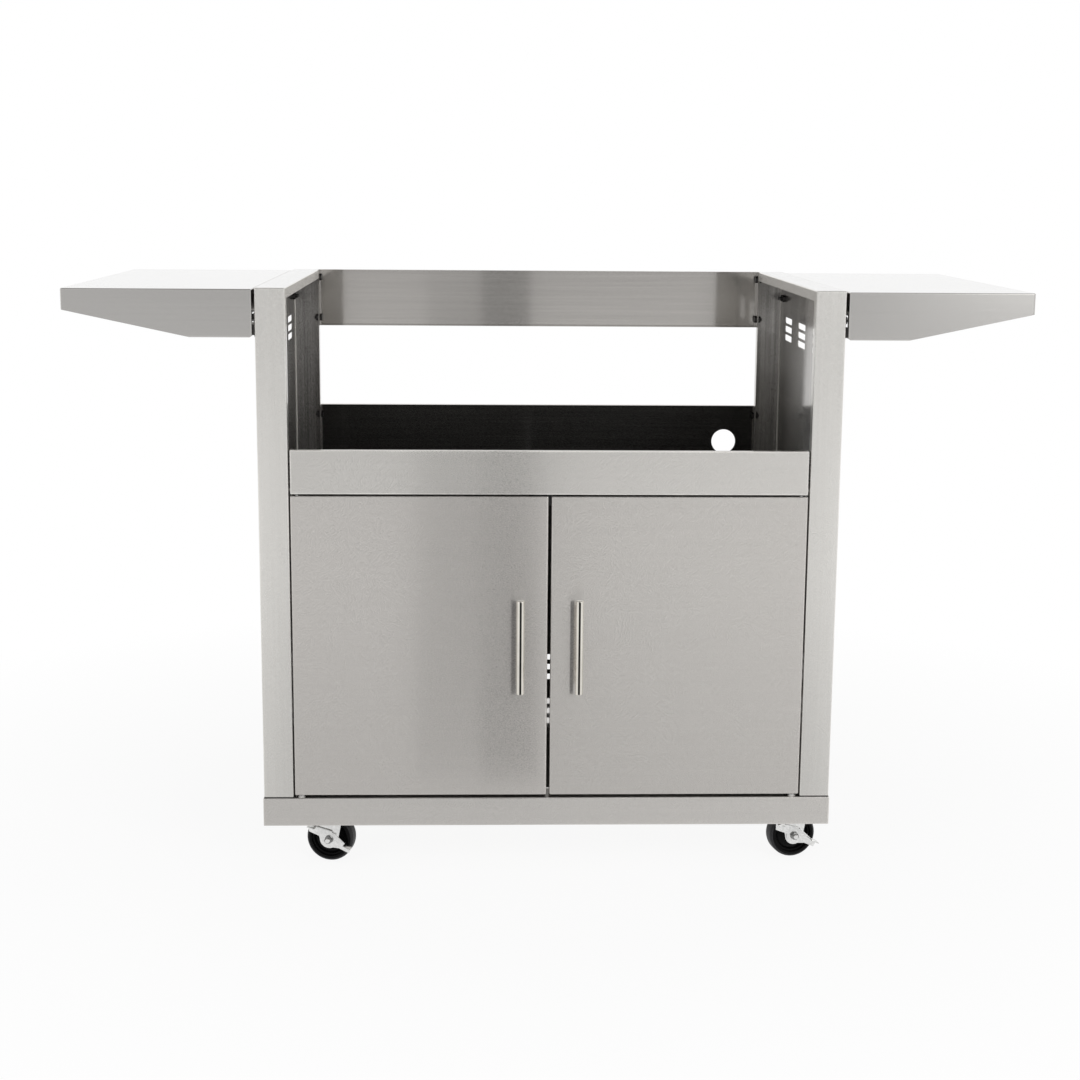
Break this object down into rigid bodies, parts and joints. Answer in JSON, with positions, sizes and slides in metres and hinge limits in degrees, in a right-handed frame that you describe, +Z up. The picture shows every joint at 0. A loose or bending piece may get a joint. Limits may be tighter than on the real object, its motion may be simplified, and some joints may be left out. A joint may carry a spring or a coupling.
{
  "type": "grill cart",
  "caption": "Stainless-steel grill cart with an open bay for a drop-in grill, a cabinet with doors, folding side shelves and swivel casters.",
  "frame": {"origin": "on the floor, under the middle of the cart's overall box", "axes": "+X to the right of a person facing the doors, +Y to the rear, +Z up"},
  "size_m": [1.462, 0.6614, 0.914],
  "materials": {
    "brushed_stainless": "brushed",
    "polished_steel": "polished",
    "zinc_steel": "zinc plated",
    "fastener_steel": "plain",
    "tread_rubber": "matt",
    "wheel_plastic": "matt",
    "bush_nylon": "matt",
    "catch_plastic": "matt",
    "magnet": "ground"
  },
  "bodies": {
    "cart_frame": {"left_side_panel": "brushed_stainless", "right_side_panel": "brushed_stainless", "base_frame": "brushed_stainless", "caster_rails": "brushed_stainless", "floor_panel": "brushed_stainless", "back_panel": "brushed_stainless", "rear_top_rail": "brushed_stainless", "front_apron": "brushed_stainless", "frame_bolts": "fastener_steel", "apron_bolts": "fastener_steel", "door_pivot_bushes": "bush_nylon", "door_catch": "catch_plastic", "catch_magnets": "magnet", "shelf_brackets": "brushed_stainless", "shelf_bracket_bolts": "fastener_steel", "front_left_caster_plate": "zinc_steel", "front_right_caster_plate": "zinc_steel", "rear_left_caster_plate": "zinc_steel", "rear_right_caster_plate": "zinc_steel", "caster_kingpins": "zinc_steel", "caster_bolts": "zinc_steel"},
    "left_door": {"left_door_skin": "brushed_stainless", "left_door_liner": "brushed_stainless", "left_strike_plate": "fastener_steel", "left_pivot_pins": "fastener_steel", "left_handle_bar": "polished_steel", "left_handle_posts": "polished_steel", "left_handle_screws": "fastener_steel"},
    "left_shelf": {"left_shelf_pan": "brushed_stainless", "left_shelf_hangers": "brushed_stainless", "left_shelf_hinge_rod": "fastener_steel"},
    "right_door": {"right_door_skin": "brushed_stainless", "right_door_liner": "brushed_stainless", "right_strike_plate": "fastener_steel", "right_pivot_pins": "fastener_steel", "right_handle_bar": "polished_steel", "right_handle_posts": "polished_steel", "right_handle_screws": "fastener_steel"},
    "right_shelf": {"right_shelf_pan": "brushed_stainless", "right_shelf_hangers": "brushed_stainless", "right_shelf_hinge_rod": "fastener_steel"},
    "front_left_caster": {"front_left_fork": "zinc_steel", "front_left_axle": "zinc_steel"},
    "front_left_roller": {"front_left_wheel": "wheel_plastic", "front_left_tread": "tread_rubber"},
    "front_left_brake": {"front_left_brake_lever": "zinc_steel"},
    "front_right_caster": {"front_right_fork": "zinc_steel", "front_right_axle": "zinc_steel"},
    "front_right_roller": {"front_right_wheel": "wheel_plastic", "front_right_tread": "tread_rubber"},
    "front_right_brake": {"front_right_brake_lever": "zinc_steel"},
    "rear_left_caster": {"rear_left_fork": "zinc_steel", "rear_left_axle": "zinc_steel"},
    "rear_left_roller": {"rear_left_wheel": "wheel_plastic", "rear_left_tread": "tread_rubber"},
    "rear_right_caster": {"rear_right_fork": "zinc_steel", "rear_right_axle": "zinc_steel"},
    "rear_right_roller": {"rear_right_wheel": "wheel_plastic", "rear_right_tread": "tread_rubber"}
  },
  "joints": [
    {"name": "left_door_hinge", "type": "hinge", "parent": "cart_frame", "child": "left_door", "pos_m": [-0.3858, -0.28075, 0.1249], "axis": [0, 0, -1], "range_deg": [0, 110]},
    {"name": "left_shelf_fold", "type": "hinge", "parent": "cart_frame", "child": "left_shelf", "pos_m": [-0.46, 0, 0.85], "axis": [0, -1, 0], "range_deg": [0, 90]},
    {"name": "right_door_hinge", "type": "hinge", "parent": "cart_frame", "child": "right_door", "pos_m": [0.3858, -0.28075, 0.1249], "axis": [0, 0, 1], "range_deg": [0, 110]},
    {"name": "right_shelf_fold", "type": "hinge", "parent": "cart_frame", "child": "right_shelf", "pos_m": [0.46, 0, 0.85], "axis": [0, 1, 0], "range_deg": [0, 90]},
    {"name": "front_left_swivel_turn", "type": "hinge", "parent": "cart_frame", "child": "front_left_caster", "pos_m": [-0.3705, -0.22175, 0.1025], "axis": [0, 0, 1], "continuous": true},
    {"name": "front_left_wheel_spin", "type": "hinge", "parent": "front_left_caster", "child": "front_left_roller", "pos_m": [-0.344, -0.2269, 0.038], "axis": [0.1908, 0.9816, 0], "continuous": true},
    {"name": "front_left_brake_press", "type": "hinge", "parent": "front_left_caster", "child": "front_left_brake", "pos_m": [-0.344, -0.2269, 0.038], "axis": [-0.1908, -0.9816, 0], "range_deg": [0, 22]},
    {"name": "front_right_swivel_turn", "type": "hinge", "parent": "cart_frame", "child": "front_right_caster", "pos_m": [0.3705, -0.22175, 0.1025], "axis": [0, 0, 1], "continuous": true},
    {"name": "front_right_wheel_spin", "type": "hinge", "parent": "front_right_caster", "child": "front_right_roller", "pos_m": [0.39691, -0.21614, 0.038], "axis": [-0.2079, 0.9781, 0], "continuous": true},
    {"name": "front_right_brake_press", "type": "hinge", "parent": "front_right_caster", "child": "front_right_brake", "pos_m": [0.39691, -0.21614, 0.038], "axis": [0.2079, -0.9781, 0], "range_deg": [0, 22]},
    {"name": "rear_left_swivel_turn", "type": "hinge", "parent": "cart_frame", "child": "rear_left_caster", "pos_m": [-0.3705, 0.26425, 0.1025], "axis": [0, 0, 1], "continuous": true},
    {"name": "rear_left_wheel_spin", "type": "hinge", "parent": "rear_left_caster", "child": "rear_left_roller", "pos_m": [-0.3435, 0.26425, 0.038], "axis": [0, 1, 0], "continuous": true},
    {"name": "rear_right_swivel_turn", "type": "hinge", "parent": "cart_frame", "child": "rear_right_caster", "pos_m": [0.3705, 0.26425, 0.1025], "axis": [0, 0, 1], "continuous": true},
    {"name": "rear_right_wheel_spin", "type": "hinge", "parent": "rear_right_caster", "child": "rear_right_roller", "pos_m": [0.3975, 0.26425, 0.038], "axis": [0, 1, 0], "continuous": true}
  ]
}
